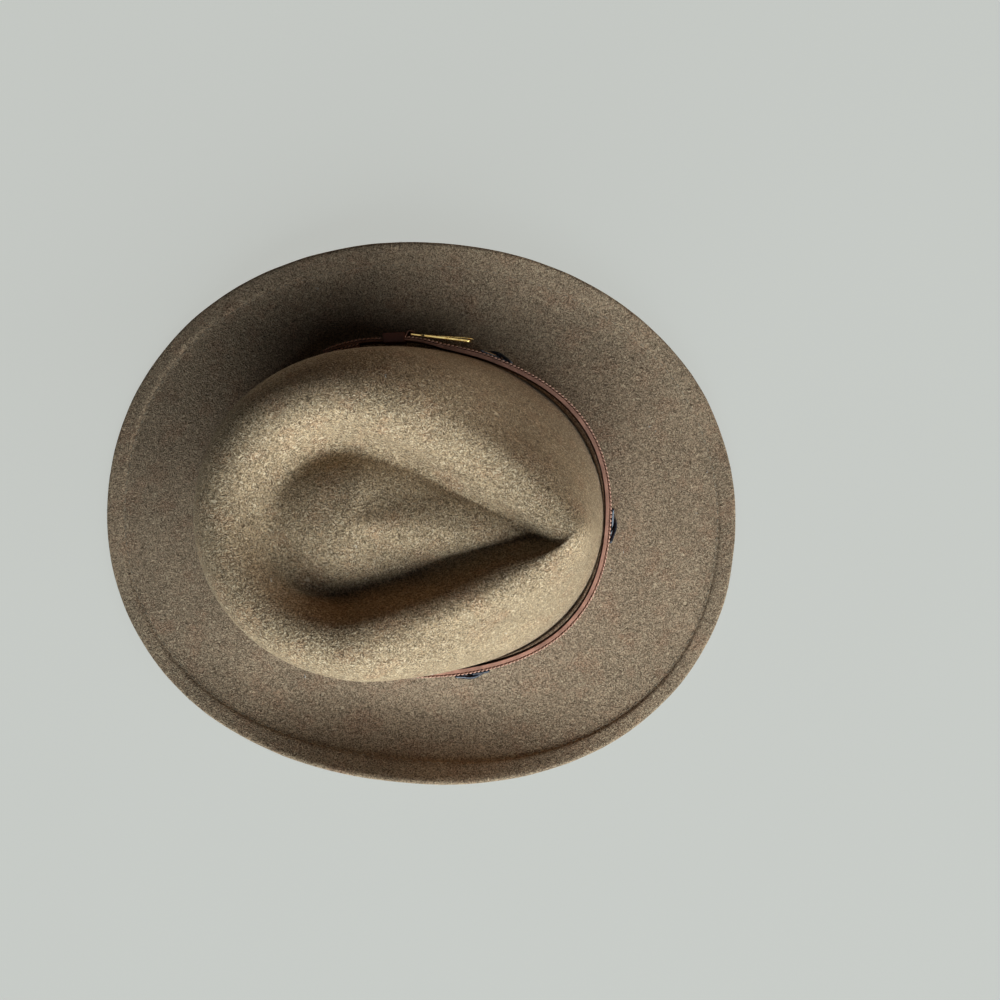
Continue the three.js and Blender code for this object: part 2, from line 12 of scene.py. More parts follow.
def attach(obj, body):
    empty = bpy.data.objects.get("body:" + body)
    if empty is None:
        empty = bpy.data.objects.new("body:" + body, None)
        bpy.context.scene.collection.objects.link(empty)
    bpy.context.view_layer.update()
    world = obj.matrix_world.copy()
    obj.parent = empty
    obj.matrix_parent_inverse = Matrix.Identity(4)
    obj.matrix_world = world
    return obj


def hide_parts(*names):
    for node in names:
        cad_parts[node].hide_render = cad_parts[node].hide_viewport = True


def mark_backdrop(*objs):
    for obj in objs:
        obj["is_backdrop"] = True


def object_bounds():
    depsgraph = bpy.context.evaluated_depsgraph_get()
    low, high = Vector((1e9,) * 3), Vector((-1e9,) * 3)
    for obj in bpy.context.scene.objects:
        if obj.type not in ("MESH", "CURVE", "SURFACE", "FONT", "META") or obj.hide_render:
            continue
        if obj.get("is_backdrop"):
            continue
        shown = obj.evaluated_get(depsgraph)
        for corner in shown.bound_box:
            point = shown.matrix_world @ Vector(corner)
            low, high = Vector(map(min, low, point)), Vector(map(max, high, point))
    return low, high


bl_info = {
    "name": "Felt fedora",
    "version": (1, 0, 0),
    "blender": (4, 5, 0),
    "location": "3D View > Sidebar > Fedora",
    "description": "Builds the felt, leather, lace and brass of a fedora",
    "category": "Object",
}

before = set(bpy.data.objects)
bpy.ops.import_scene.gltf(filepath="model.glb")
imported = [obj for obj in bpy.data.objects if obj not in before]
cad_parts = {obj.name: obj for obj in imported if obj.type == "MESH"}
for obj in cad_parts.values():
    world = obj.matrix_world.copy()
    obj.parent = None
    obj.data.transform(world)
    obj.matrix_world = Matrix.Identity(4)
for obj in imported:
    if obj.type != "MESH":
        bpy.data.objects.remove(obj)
cad_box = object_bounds()

BODY = "root"
LACES = 5
UP = Vector((0, 0, 1))

# the middle of the crown's foot
CROWN_X = -0.0012
CROWN_Y = 0.003

# how a solid's mesh is merged, smoothed and rounded
MERGE = 1e-5  # corners nearer than this are one
LEVELS = 2  # times that each face is divided
FELT_FOLD = 60  # degrees: two triangles that meet flatter than this are one face
LEATHER_FOLD = 40
BRASS_FOLD = 40
LACE_FOLD = 30
SHARP = math.radians(50)  # an edge that turns by more than this is rounded
ROUND_STEPS = 2
LINING_ROUND = 0.00028
FACING_ROUND = 0.00022
KEEPER_ROUND = 0.00028
TAB_ROUND = 0.00018
FRAME_ROUND = 0.0003
PRONG_ROUND = 0.0002
OUTWARD = 0.6  # a face with a normal this far out belongs to a strap's outer side
UPWARD = 0.65  # a face with a normal this far up or down is one of its cut edges

# how uneven the felt is
SWELLS = 0.028  # from one swell to the next
SWELL_HEIGHT = 0.0007

# the brim's colour gives way to the crown's between these heights
BRIM_COLOUR_ENDS = 0.022
CROWN_COLOUR_STARTS = 0.062

# marks in a metre of stuff, for the noises that make them
FELT_CURLS = 240.0
FELT_SPECKS = 1250.0
FELT_CLUMPS = 380.0
FELT_TINTS = 75.0
FELT_PATCHES = 30.0
HAIR_BROWNS = 320.0
LEATHER_DYE = 160.0
FACE_PORES = 2200.0
EDGE_PORES = 3200.0
# the lace's paler patches are partly scuffs and partly a painted highlight
LACE_SCUFFS_AND_HIGHLIGHTS = 700.0
BRASS_FILM = 420.0
FLOOR_CLOUDS = 9.0

# marks in a metre along X, Y and Z, for those that are longer one way
PALE_HAIRS = (800, 1500, 1500)
CROSSING_HAIRS = (1500, 850, 1500)
DARK_HAIRS = (1300, 1000, 1300)
THREAD_TWIST = (2600, 2600, 900)
BRASS_RUBS = (300, 300, 2600)

CURL_REACH = 0.006  # how far a curl pushes the felt's hairs about
NOISE_LOW, NOISE_HIGH = 0.3, 0.7  # most of a noise lies between these

# colours that no setting changes
SHEEN = (0.95, 0.79, 0.58)
RUST = (1.0, 0.84, 0.8)
LINT = (0.85, 0.83, 0.78)
BRIGHT_BRASS = (0.95, 0.7, 0.31)
DULL_BRASS = (0.74, 0.48, 0.18)

# the threads of the brim and of the band
BRIM_STITCH_SHARE = 0.66  # of its pitch that a stitch takes up
BRIM_THREAD = 0.00045
BRIM_THREAD_LIFT = 0.00005
BAND_STITCH_SHARE = 1.15
BAND_THREAD = 0.0009
BAND_THREAD_SINK = 0.0001
STITCH_DIP = 0.6  # of its thickness that a stitch goes down at its ends

# the line of the brim's stitches
EDGE_STEPS = 180
EDGE_SMOOTHING = 9
LINE_STEPS = 720
LINE_REACH = 3  # points to each side that show the closed line's direction
AHEAD = 0.0002  # step along any line that shows its direction
ABOVE = 0.2  # height from which a plumb line is dropped on the felt

# loose hairs and lint
HAIR_PARTS = 4
HAIR_LENGTH = 0.0022
HAIR_RADIUS = 0.00003
HAIR_TAPER = 0.6
HAIR_TURN = 2.6  # radians of a wave that a bent hair follows
HAIR_BENDS = (0.3, 0.25), (-0.25, 0.35), (0.5, 0.15)  # shares of the length: bend, lift
HAIR_SIZES = 0.5, 1.4  # smallest and largest, as shares of the length
HAIR_SEED = 7
LINT_LENGTH = 0.0014
LINT_RADIUS = 0.0002
LINT_BENDS = (0.9, 0.1), (-0.6, 0.15)
LINT_SIZES = 0.5, 1.3
LINT_SEED = 3

# the stage
FLOOR_SIZE = 20
FLOOR_DROP = 0.0004  # the floor is this much lower than the brim
BACKDROP_RADIUS = 9
WINDOW = (1.12, -2.3, 1.6), (8.6, 2.3)  # place and size
CARD = (0.1, 0, 1.7), (2.2, 2.2)
LIT_POINT = Vector((0, 0, 0.06))
BOUNCE_PLACE = (1, 1.2, 0.2)
BOUNCE_TILT = math.radians(85)
BOUNCE_TURN = math.radians(50)
BOUNCE_WIDTH = math.radians(15)
CAMERA_PLACE = (0.0423, 0.0102, 0.55)
CAMERA_TURN = math.radians(5)
LENS_MM = 36
SENSOR_MM = 36
NEAREST = 0.01  # what is closer to the camera doesn't show
GAMMA = 0.83


def colour_property(name, description, default):
    """A colour that the user can change, in linear light."""
    return FloatVectorProperty(
        name=name, description=description, default=default, size=3, min=0, max=1, subtype="COLOR"
    )


def length_property(name, description, default):
    """A length that the user can change, in metres."""
    return FloatProperty(
        name=name, description=description, default=default, min=0, precision=5, unit="LENGTH"
    )


def angle_property(name, description, default):
    """An angle that the user can change, in radians."""
    return FloatProperty(name=name, description=description, default=default, subtype="ANGLE")


def count_property(name, description, default):
    """A number of things that the user can change."""
    return IntProperty(name=name, description=description, default=default, min=0)


def light_property(name, description, default):
    """A strength of light that the user can change."""
    return FloatProperty(name=name, description=description, default=default, min=0)


def power_property(name, description, default):
    """A lamp's power that the user can change, in watts."""
    return FloatProperty(name=name, description=description, default=default, unit="POWER")


class FeltSettings(bpy.types.PropertyGroup):
    """Sizes and colours of the felt."""

    crown_colour: colour_property("Crown", "Felt of the crown", (0.352, 0.257, 0.161))
    brim_colour: colour_property("Brim", "Felt of the brim", (0.303, 0.222, 0.151))
    pale_fibre: colour_property("Pale fibre", "Palest hairs in the felt", (0.76, 0.62, 0.44))
    dark_fibre: colour_property("Dark fibre", "Darkest hairs in the felt", (0.06, 0.035, 0.022))
    thread_colour: colour_property("Brim thread", "Thread along the brim", (0.36, 0.3, 0.22))
    stitch_pitch: length_property("Stitch pitch", "From one brim stitch to the next", 0.0049)
    stitch_inset: length_property("Stitch inset", "From the brim's edge to its stitches", 0.0103)
    loose_hairs: count_property("Loose hairs", "Hairs that stand off the felt", 6000)
    lint_count: count_property("Lint", "Pale bits of lint on the felt", 26)


class LeatherSettings(bpy.types.PropertyGroup):
    """Sizes and colours of the band, the keeper, the lace and the buckle."""

    face_colour: colour_property("Face", "Smooth side of the leather", (0.165, 0.057, 0.03))
    edge_colour: colour_property("Cut edge", "Raw edge of the leather", (0.52, 0.29, 0.215))
    thread_colour: colour_property("Band thread", "Thread along the band", (0.72, 0.44, 0.33))
    lace_colour: colour_property("Lace", "Dark crossed lace", (0.026, 0.03, 0.044))
    facing: length_property("Facing", "Thickness of the band's outer layer", 0.0007)
    seam: length_property("Seam", "Gap between the band's two layers", 0.0001)
    stitch_pitch: length_property("Stitch pitch", "From one band stitch to the next", 0.0021)
    stitch_slant: angle_property("Stitch slant", "Lean of each band stitch", 0.3)
    buckle_lean: angle_property("Buckle lean", "Turn of the brass off the band", 0.05)
    lace_swell: length_property("Lace swell", "How far the lace is filled out", 0.00032)


class StageSettings(bpy.types.PropertyGroup):
    """Floor and light."""

    floor_colour: colour_property("Floor", "Plain pale floor", (0.082, 0.084, 0.08))
    glow_colour: colour_property("Glow", "Light of floor and backdrop", (0.975, 1.0, 0.955))
    floor_glow: light_property("Floor glow", "Light of the floor itself", 0.575)
    backdrop_glow: light_property("Backdrop glow", "Light of the backdrop itself", 0.5)
    lamp_colour: colour_property("Lamps", "Light of window and card", (0.84, 0.94, 1))
    key_power: power_property("Window", "Power of the wide, low, soft light", 335)
    card_power: power_property("Card", "Power of the card that metal mirrors", 14)
    bounce_colour: colour_property("Bounce colour", "Low warm light", (1, 0.5, 0.15))
    bounce_strength: light_property("Bounce", "Strength of the low warm light", 0.35)
    room_colour: colour_property("Room colour", "Light from all round", (1, 0.78, 0.55))
    room_strength: light_property("Room", "Strength of the light from all round", 0.01)


def add_node(tree, kind, inputs=None, **settings):
    """A shader node with its settings, its inputs linked or set."""
    node = tree.nodes.new(kind)
    for key, value in settings.items():
        setattr(node, key, value)
    for key, value in (inputs or {}).items():
        if isinstance(value, bpy.types.NodeSocket):
            tree.links.new(value, node.inputs[key])
        else:
            node.inputs[key].default_value = value
    return node


def noise(tree, vector, scale, detail=2.0, roughness=0.55):
    """A noise from 0 to 1."""
    inputs = {"Vector": vector, "Scale": scale, "Detail": detail, "Roughness": roughness}
    return add_node(tree, "ShaderNodeTexNoise", inputs).outputs["Fac"]


def streaks(tree, vector, scale, detail=1.0, roughness=0.55, turn=(0, 0, 0)):
    """A noise stretched by its scale along X, Y and Z, and turned by some degrees."""
    inputs = {"Vector": vector, "Scale": scale, "Rotation": [math.radians(t) for t in turn]}
    mapped = add_node(tree, "ShaderNodeMapping", inputs).outputs["Vector"]
    return noise(tree, mapped, 1.0, detail, roughness)


def ranged(tree, value, low, high, start=0.0, end=1.0):
    """A value brought smoothly from one range to another, and kept inside it."""
    inputs = {"Value": value, "From Min": low, "From Max": high, "To Min": start, "To Max": end}
    node = add_node(tree, "ShaderNodeMapRange", inputs, interpolation_type="SMOOTHSTEP")
    return node.outputs["Result"]


def math_node(tree, operation, one, other):
    """Two values put together."""
    node = add_node(tree, "ShaderNodeMath", {0: one, 1: other}, operation=operation)
    return node.outputs["Value"]


def vector_node(tree, operation, *vectors):
    """Vectors put together."""
    inputs = dict(enumerate(vectors))
    return add_node(tree, "ShaderNodeVectorMath", inputs, operation=operation).outputs[0]


def solid(colour):
    """A colour with full cover."""
    return (*colour, 1.0)


def blended(tree, share, one, other, mode="MIX"):
    """One colour laid over another. 6, 7 and 2 are the mix node's colour sockets."""
    node = add_node(
        tree, "ShaderNodeMix", {0: share, 6: one, 7: other}, data_type="RGBA", blend_type=mode
    )
    return node.outputs[2]


def new_material(name, roughness, metallic=0.0):
    """A material with its tree, its shader and the piece's own coordinates."""
    material = bpy.data.materials.new(name)
    material.use_nodes = True
    tree = material.node_tree
    shader = tree.nodes["Principled BSDF"]
    shader.inputs["Roughness"].default_value = roughness
    shader.inputs["Metallic"].default_value = metallic
    coordinates = add_node(tree, "ShaderNodeTexCoord").outputs["Object"]
    return material, tree, shader, coordinates


def bump(tree, shader, height, strength, distance):
    """Fine relief on a shader."""
    inputs = {"Height": height, "Strength": strength, "Distance": distance}
    node = add_node(tree, "ShaderNodeBump", inputs)
    tree.links.new(node.outputs["Normal"], shader.inputs["Normal"])


def swirled(tree, place):
    """Coordinates pushed about a little, so that the hairs on them curl."""
    inputs = {"Vector": place, "Scale": FELT_CURLS, "Detail": 1.0}
    push = add_node(tree, "ShaderNodeTexNoise", inputs).outputs["Color"]
    centred = vector_node(tree, "ADD", push, (-0.5, -0.5, -0.5))
    return vector_node(tree, "MULTIPLY_ADD", centred, (CURL_REACH,) * 3, place)


def felt_dye(tree, settings, place, on_crown, clumps):
    """Brown under the hairs: uneven, specked, and here and there a little redder."""
    patches = noise(tree, place, FELT_PATCHES)
    specks = noise(tree, place, FELT_SPECKS, detail=1.0)
    tints = noise(tree, place, FELT_TINTS, detail=3.0)
    clumped = ranged(tree, clumps, NOISE_LOW, NOISE_HIGH, start=0.86, end=1.12)
    patched = ranged(tree, patches, NOISE_LOW, NOISE_HIGH, start=0.92, end=1.07)
    specked = ranged(tree, specks, NOISE_LOW, NOISE_HIGH, start=0.6, end=1.4)
    shade = math_node(tree, "MULTIPLY", clumped, patched)
    shade = math_node(tree, "MULTIPLY", shade, specked)
    channels = {"Red": shade, "Green": shade, "Blue": shade}
    grey = add_node(tree, "ShaderNodeCombineColor", channels).outputs["Color"]
    brim, crown = solid(settings.brim_colour), solid(settings.crown_colour)
    dye = blended(tree, 1.0, blended(tree, on_crown, brim, crown), grey, "MULTIPLY")
    redder = ranged(tree, tints, 0.48, 0.68, end=0.5)
    return blended(tree, redder, dye, solid(RUST), "MULTIPLY")


def felt_material(settings):
    """Heathered felt: matted hairs of mixed browns, paler on the crown than on the brim."""
    material, tree, shader, place = new_material("heathered_felt", roughness=0.95)
    shader.inputs["Specular IOR Level"].default_value = 0.12
    shader.inputs["Sheen Weight"].default_value = 0.16
    shader.inputs["Sheen Roughness"].default_value = 0.55
    shader.inputs["Sheen Tint"].default_value = solid(SHEEN)
    curly = swirled(tree, place)
    lengthways = streaks(tree, curly, PALE_HAIRS, turn=(0, 0, 28))
    crossways = streaks(tree, curly, CROSSING_HAIRS, turn=(0, 20, -17))
    deep = streaks(tree, curly, DARK_HAIRS, turn=(25, 0, 10))
    clumps = noise(tree, place, FELT_CLUMPS)
    height = add_node(tree, "ShaderNodeSeparateXYZ", {"Vector": place}).outputs["Z"]
    on_crown = ranged(tree, height, BRIM_COLOUR_ENDS, CROWN_COLOUR_STARTS)
    pale_one = ranged(tree, lengthways, 0.56, 0.7)
    pale_other = ranged(tree, crossways, 0.57, 0.7)
    pale = math_node(tree, "MAXIMUM", pale_one, pale_other)
    paleness = ranged(tree, on_crown, 0.0, 1.0, start=0.42, end=0.72)
    pale = math_node(tree, "MULTIPLY", pale, paleness)
    dark = math_node(tree, "MULTIPLY", ranged(tree, deep, 0.46, 0.32), 0.64)
    ground = felt_dye(tree, settings, place, on_crown, clumps)
    ground = blended(tree, dark, ground, solid(settings.dark_fibre))
    ground = blended(tree, pale, ground, solid(settings.pale_fibre))
    tree.links.new(ground, shader.inputs["Base Color"])
    relief = math_node(tree, "ADD", lengthways, crossways)
    relief = math_node(tree, "ADD", relief, math_node(tree, "SUBTRACT", clumps, deep))
    bump(tree, shader, relief, strength=0.55, distance=0.0006)
    return material


def leather_material(name, colour, pores_in_metre, roughness, contrast):
    """Leather with pores and slightly uneven dye."""
    material, tree, shader, place = new_material(name, roughness)
    shader.inputs["Specular IOR Level"].default_value = 0.14
    dye = noise(tree, place, LEATHER_DYE, detail=3.0)
    dye = ranged(tree, dye, NOISE_LOW, NOISE_HIGH)
    pores = noise(tree, place, pores_in_metre, detail=3.0, roughness=0.7)
    light = [min(c * (1 + contrast), 1) for c in colour]
    deep = [c * (1 - contrast) for c in colour]
    in_pores = [c * 0.6 for c in colour]
    ground = blended(tree, dye, solid(deep), solid(light))
    worn = ranged(tree, pores, 0.35, 0.65, end=0.35)
    ground = blended(tree, worn, ground, solid(in_pores))
    tree.links.new(ground, shader.inputs["Base Color"])
    bump(tree, shader, pores, strength=0.35, distance=0.0003)
    return material


def thread_material(name, colour):
    """Twisted thread, a little dusty, with painted shade in the grooves between its plies."""
    material, tree, shader, place = new_material(name, roughness=0.75)
    twist = streaks(tree, place, THREAD_TWIST)
    tone = ranged(tree, twist, 0.35, 0.65)
    # painted shade: the thread is darker where the grooves between its plies would lie
    painted_shade_between_plies = [c * 0.65 for c in colour]
    ground = blended(tree, tone, solid(painted_shade_between_plies), solid(colour))
    tree.links.new(ground, shader.inputs["Base Color"])
    bump(tree, shader, twist, strength=0.4, distance=0.0001)
    return material


def loose_hair_material(settings):
    """Single hairs, some as brown as the brim and some pale."""
    material, tree, shader, place = new_material("loose_hair", roughness=0.8)
    tone = ranged(tree, noise(tree, place, HAIR_BROWNS), 0.4, 0.6)
    brown, pale = solid(settings.brim_colour), solid(settings.pale_fibre)
    tree.links.new(blended(tree, tone, brown, pale), shader.inputs["Base Color"])
    return material


def lace_material(colour):
    """Waxed, nearly black lace that shines, with paler blue-grey patches that are partly scuffed
    wax and partly a painted highlight.
    """
    material, tree, shader, place = new_material("waxed_lace", roughness=0.22)
    shader.inputs["Coat Weight"].default_value = 1.0
    shader.inputs["Coat Roughness"].default_value = 0.15
    # paler, duller patches: partly scuffs, partly a painted highlight in the pale blue-grey of
    # the lace's shine
    scuff_and_highlight_noise = noise(tree, place, LACE_SCUFFS_AND_HIGHLIGHTS, detail=4.0, roughness=0.7)
    scuffed_and_painted_highlight = [c * 3.2 + 0.01 for c in colour]
    ground = blended(tree, ranged(tree, scuff_and_highlight_noise, 0.55, 0.75), solid(colour), solid(scuffed_and_painted_highlight))
    tree.links.new(ground, shader.inputs["Base Color"])
    dulled = ranged(tree, scuff_and_highlight_noise, 0.4, 0.7, start=0.2, end=0.42)
    tree.links.new(dulled, shader.inputs["Roughness"])
    bump(tree, shader, scuff_and_highlight_noise, strength=0.3, distance=0.0002)
    return material


def brass_material():
    """Polished brass with fine rubs and a slightly dull film."""
    material, tree, shader, place = new_material(
        "polished_brass", roughness=0.24, metallic=1.0
    )
    rubs = streaks(tree, place, BRASS_RUBS, detail=3.0, roughness=0.7)
    film = noise(tree, place, BRASS_FILM, detail=3.0)
    dulled = ranged(tree, film, 0.35, 0.65)
    ground = blended(tree, dulled, solid(BRIGHT_BRASS), solid(DULL_BRASS))
    tree.links.new(ground, shader.inputs["Base Color"])
    rubbed = ranged(tree, rubs, NOISE_LOW, NOISE_HIGH, start=0.22, end=0.34)
    tree.links.new(rubbed, shader.inputs["Roughness"])
    bump(tree, shader, film, strength=0.1, distance=0.0001)
    return material


def select_only(piece):
    """One piece alone is selected and active."""
    bpy.ops.object.select_all(action="DESELECT")
    piece.select_set(True)
    bpy.context.view_layer.objects.active = piece


def merged_copy(node_name, piece_name, fold):
    """A copy of a solid's mesh, merged, with pairs of triangles joined where they lie flat."""
    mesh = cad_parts[node_name].data.copy()
    mesh.name = piece_name
    mesh.materials.clear()
    piece = bpy.data.objects.new(piece_name, mesh)
    bpy.context.scene.collection.objects.link(piece)
    select_only(piece)
    bpy.ops.mesh.customdata_custom_splitnormals_clear()
    bpy.ops.object.mode_set(mode="EDIT")
    bpy.ops.mesh.select_all(action="SELECT")
    bpy.ops.mesh.remove_doubles(threshold=MERGE)
    angle = math.radians(fold)
    bpy.ops.mesh.tris_convert_to_quads(face_threshold=angle, shape_threshold=math.pi)
    bpy.ops.mesh.mark_sharp(clear=True)
    bpy.ops.object.mode_set(mode="OBJECT")
    bpy.ops.object.shade_smooth()
    return piece


def apply_modifier(piece, kind, **settings):
    """A modifier put on a piece and applied."""
    select_only(piece)
    modifier = piece.modifiers.new(kind.lower(), kind)
    for key, value in settings.items():
        setattr(modifier, key, value)
    bpy.ops.object.modifier_apply(modifier=modifier.name)


def subdivide(piece):
    """A smooth surface through a piece's faces."""
    apply_modifier(piece, "SUBSURF", levels=LEVELS, render_levels=LEVELS)


def round_edges(piece, width):
    """Sharp edges rounded, and the whole piece smooth."""
    apply_modifier(
        piece,
        "BEVEL",
        width=width,
        segments=ROUND_STEPS,
        limit_method="ANGLE",
        angle_limit=SHARP,
        use_clamp_overlap=True,
    )
    subdivide(piece)
    select_only(piece)
    bpy.ops.object.shade_smooth()


def put_in_place(piece, slot, nodes, *materials):
    """A finished piece gets its finish, the solids that it stands for are hidden, and it is hung
    on the body that it rides on.
    """
    for material in materials:
        piece.data.materials.append(material)
    if nodes:
        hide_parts(*nodes)
    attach(piece, BODY)


def joined_copies(name, models, places):
    """One piece from many copies of small models. A place is (model number, matrix)."""
    vertices, faces, start = [], [], 0
    for number, matrix in places:
        points, polygons = models[number]
        turned = points @ np.array(matrix.to_3x3()).T + np.array(matrix.translation)
        vertices.append(turned)
        faces.extend([[start + index for index in polygon] for polygon in polygons])
        start += len(points)
    mesh = bpy.data.meshes.new(name)
    mesh.from_pydata(np.concatenate(vertices).tolist(), [], faces)
    mesh.update()
    piece = bpy.data.objects.new(name, mesh)
    bpy.context.scene.collection.objects.link(piece)
    select_only(piece)
    bpy.ops.object.shade_smooth()
    return piece


def taken_as_model(piece):
    """The points and faces of a small piece, which is then taken away."""
    mesh = piece.data
    points = np.array([vertex.co[:] for vertex in mesh.vertices])
    polygons = [list(polygon.vertices) for polygon in mesh.polygons]
    bpy.data.objects.remove(piece)
    return points, polygons


def laid_along_x(piece):
    """A new upright primitive turned to lie along X."""
    piece.rotation_euler = (0, math.pi / 2, 0)
    bpy.ops.object.transform_apply(rotation=True)
    return piece


def stitch_model(length, thickness):
    """One stitch along X: a short thread that dips into the stuff at both ends."""
    bpy.ops.object.select_all(action="DESELECT")
    bpy.ops.mesh.primitive_uv_sphere_add(segments=8, ring_count=7, radius=0.5)
    stitch = laid_along_x(bpy.context.object)
    for vertex in stitch.data.vertices:
        x, y, z = vertex.co
        dip = (2 * x) ** 2 * thickness
        vertex.co = (x * length, y * thickness, z * thickness - dip * STITCH_DIP)
    return taken_as_model(stitch)


def hair_model(bend, lift, length, radius):
    """One loose hair along X: a thin three-sided strand that bends and lifts at its end."""
    bpy.ops.object.select_all(action="DESELECT")
    bpy.ops.mesh.primitive_cylinder_add(vertices=3, radius=radius, depth=length)
    hair = laid_along_x(bpy.context.object)
    bpy.ops.object.mode_set(mode="EDIT")
    for cut in range(1, HAIR_PARTS):
        bpy.ops.mesh.select_all(action="SELECT")
        place = (cut / HAIR_PARTS - 0.5) * length
        bpy.ops.mesh.bisect(plane_co=(place, 0, 0), plane_no=(1, 0, 0))
    bpy.ops.object.mode_set(mode="OBJECT")
    for vertex in hair.data.vertices:
        share = vertex.co.x / length + 0.5
        thin = 1 - HAIR_TAPER * share
        side = bend * math.sin(share * HAIR_TURN) * length
        rise = lift * share**2 * length
        vertex.co = (vertex.co.x, vertex.co.y * thin + side, vertex.co.z * thin + rise)
    return taken_as_model(hair)


def lying(point, along, up):
    """A matrix at a point, with X along and Z up off the surface."""
    x = along.normalized()
    y = up.cross(x).normalized()
    z = x.cross(y)
    return Matrix.Translation(point) @ Matrix((x, y, z)).transposed().to_4x4()


def even_places(points, pitch, looped):
    """Points at even steps along a line, each with the line's direction."""
    points = np.array(points)
    if looped:
        points = np.vstack([points, points[:1]])
    steps = np.linalg.norm(np.diff(points, axis=0), axis=1)
    run = np.concatenate([[0], np.cumsum(steps)])
    count = round(run[-1] / pitch)
    for index in range(count):
        at = (index + 0.5) * run[-1] / count
        near, far = (
            Vector(np.interp(place, run, points[:, axis]) for axis in range(3))
            for place in (at, at + AHEAD)
        )
        yield near, far - near


def scattered(count, seed, kinds, sizes):
    """Random places on the felt's upper side, each a model number and a matrix."""
    felt = bpy.data.objects["felt"].data
    draw = random.Random(seed)
    areas = [polygon.area if polygon.normal.z > 0 else 0 for polygon in felt.polygons]
    run = np.cumsum(areas) / sum(areas)
    for _ in range(count):
        polygon = felt.polygons[int(np.searchsorted(run, draw.random()))]
        corners = [felt.vertices[index].co for index in polygon.vertices]
        weights = [draw.random() for _ in corners]
        total = sum(weights)
        point = sum((c * w / total for c, w in zip(corners, weights)), Vector())
        turn = draw.uniform(0, 2 * math.pi)
        tangent = polygon.normal.orthogonal().normalized()
        across = polygon.normal.cross(tangent)
        along = tangent * math.cos(turn) + across * math.sin(turn)
        matrix = lying(point, along, polygon.normal) @ Matrix.Scale(draw.uniform(*sizes), 4)
        yield draw.randrange(kinds), matrix


def outline_of(felt):
    """Points of the felt's outer edge seen from above, at even angles."""
    points = np.array([vertex.co[:2] for vertex in felt.data.vertices])
    angles = np.arctan2(points[:, 1], points[:, 0])
    radii = np.hypot(points[:, 0], points[:, 1])
    bins = ((angles + math.pi) / (2 * math.pi) * EDGE_STEPS).astype(int) % EDGE_STEPS
    edge = np.array([radii[bins == index].max() for index in range(EDGE_STEPS)])
    turns = (np.arange(EDGE_STEPS) + 0.5) * 2 * math.pi / EDGE_STEPS - math.pi
    wanted = np.linspace(-math.pi, math.pi, LINE_STEPS, endpoint=False)
    reach = np.interp(wanted, turns, edge, period=2 * math.pi)
    kernel = np.ones(EDGE_SMOOTHING) / EDGE_SMOOTHING
    lap = EDGE_SMOOTHING // 2
    reach = np.convolve(np.concatenate([reach[-lap:], reach, reach[:lap]]), kernel, "valid")
    return np.stack([reach * np.cos(wanted), reach * np.sin(wanted)], axis=1)


def inside_of(line, inset):
    """A closed line moved inwards."""
    along = np.roll(line, -LINE_REACH, axis=0) - np.roll(line, LINE_REACH, axis=0)
    along /= np.linalg.norm(along, axis=1)[:, None]
    return line + np.stack([-along[:, 1], along[:, 0]], axis=1) * inset


def plumbed(felt, x, y):
    """The point and the normal where a plumb line meets the felt."""
    met, point, normal, _ = felt.ray_cast((x, y, ABOVE), -UP)
    if not met:
        raise RuntimeError(f"no felt under {x:.4f}, {y:.4f}")
    return point, normal


def radial(point):
    """Level direction out from the middle of the crown."""
    return Vector((point.x - CROWN_X, point.y - CROWN_Y, 0)).normalized()


def select_outer_faces(piece):
    """Selects the faces that look away from the crown, and leaves the piece in edit mode."""
    select_only(piece)
    bpy.ops.object.mode_set(mode="EDIT")
    bpy.ops.mesh.select_all(action="DESELECT")
    bpy.ops.mesh.select_mode(type="FACE")
    bpy.ops.object.mode_set(mode="OBJECT")
    for polygon in piece.data.polygons:
        polygon.select = polygon.normal.dot(radial(polygon.center)) > OUTWARD
    bpy.ops.object.mode_set(mode="EDIT")


def paint_cut_edges(piece, face_material, edge_material):
    """The upper and lower faces of a strap get the finish of a raw edge."""
    piece.data.materials.append(face_material)
    piece.data.materials.append(edge_material)
    for polygon in piece.data.polygons:
        if abs(polygon.normal.z) > UPWARD:
            polygon.material_index = 1


def upper_line(piece):
    """The points along a strip's upper edge, from its one end to the other."""
    mesh = piece.data
    middle = (min(v.co.z for v in mesh.vertices) + max(v.co.z for v in mesh.vertices)) / 2
    upper = {v.index for v in mesh.vertices if v.co.z > middle}
    near = {index: [] for index in upper}
    for edge in mesh.edges:
        one, other = edge.vertices
        if one in upper and other in upper:
            near[one].append(other)
            near[other].append(one)
    line = [next(index for index in upper if len(near[index]) == 1)]
    while True:
        onward = [index for index in near[line[-1]] if index not in line[-2:]]
        if not onward:
            break
        line.append(onward[0])
    return [mesh.vertices[index].co.copy() for index in line]


class FEDORA_OT_felt(bpy.types.Operator):
    """Crown and brim of one piece of felt"""

    bl_idname = "fedora.felt"
    bl_label = "Felt body"

    def execute(self, context):
        """Smooths the felt's solid and makes it slightly uneven."""
        felt = merged_copy("felt_body", "felt", FELT_FOLD)
        subdivide(felt)
        clouds = bpy.data.textures.new("uneven_felt", "CLOUDS")
        clouds.noise_scale = SWELLS
        apply_modifier(
            felt,
            "DISPLACE",
            texture=clouds,
            strength=SWELL_HEIGHT,
            mid_level=0.5,
            direction="NORMAL",
        )
        put_in_place(felt, "felt", ["felt_body"], felt_material(context.scene.fedora_felt))
        return {"FINISHED"}


